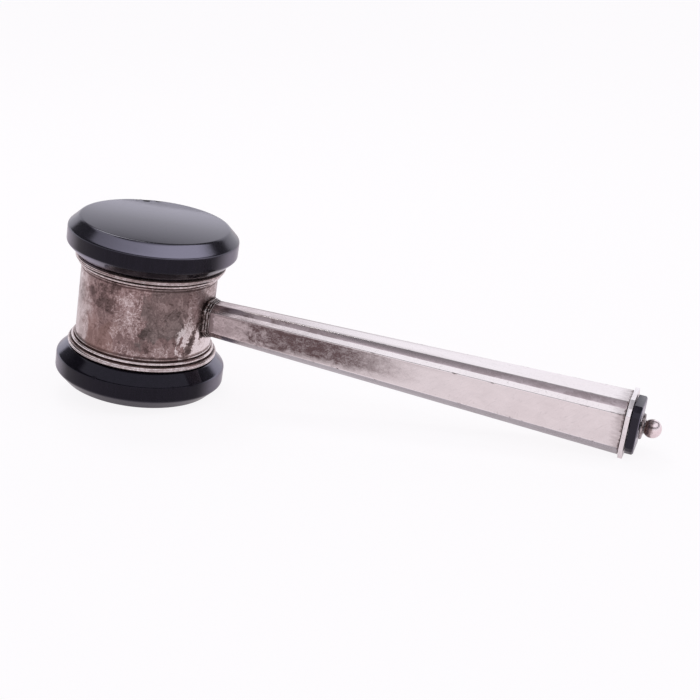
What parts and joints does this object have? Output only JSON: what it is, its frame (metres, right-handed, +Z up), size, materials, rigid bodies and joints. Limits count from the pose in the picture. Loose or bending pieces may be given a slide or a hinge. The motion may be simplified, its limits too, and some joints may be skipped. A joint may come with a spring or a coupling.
{
  "type": "auction gavel",
  "caption": "Gavel with a round metal-sleeved head between bevelled ebony striking caps, and a tapering corner-cut metal handle with a block and ball finial at its butt.",
  "frame": {"origin": "on the ground, below the middle of the bounding box, with the gavel lying at rest", "axes": "+Z up from the ground, +X along the handle from the head to the butt, +Y across the handle; the rest pose tips head and handle about 7.5 degrees about Y"},
  "size_m": [0.235, 0.065, 0.0718],
  "materials": {
    "ebony": "gloss",
    "drum_silver": "satin",
    "handle_silver": "satin",
    "ring_silver": "satin",
    "polished_silver": "polished",
    "core_wood": "matte",
    "plain_steel": "satin"
  },
  "bodies": {
    "root": {"upper_striking_cap": "ebony", "lower_striking_cap": "ebony", "upper_flange_ring": "ring_silver", "lower_flange_ring": "ring_silver", "upper_bead_ring": "ring_silver", "lower_bead_ring": "ring_silver", "head_drum": "drum_silver", "head_core": "core_wood", "anchor_nut": "plain_steel", "root_collar": "drum_silver", "handle_tube": "handle_silver", "handle_core": "core_wood", "tie_rod": "plain_steel", "end_plate": "polished_silver", "end_block": "ebony", "washer": "polished_silver", "ball_nut": "polished_silver"}
  },
  "joints": []
}
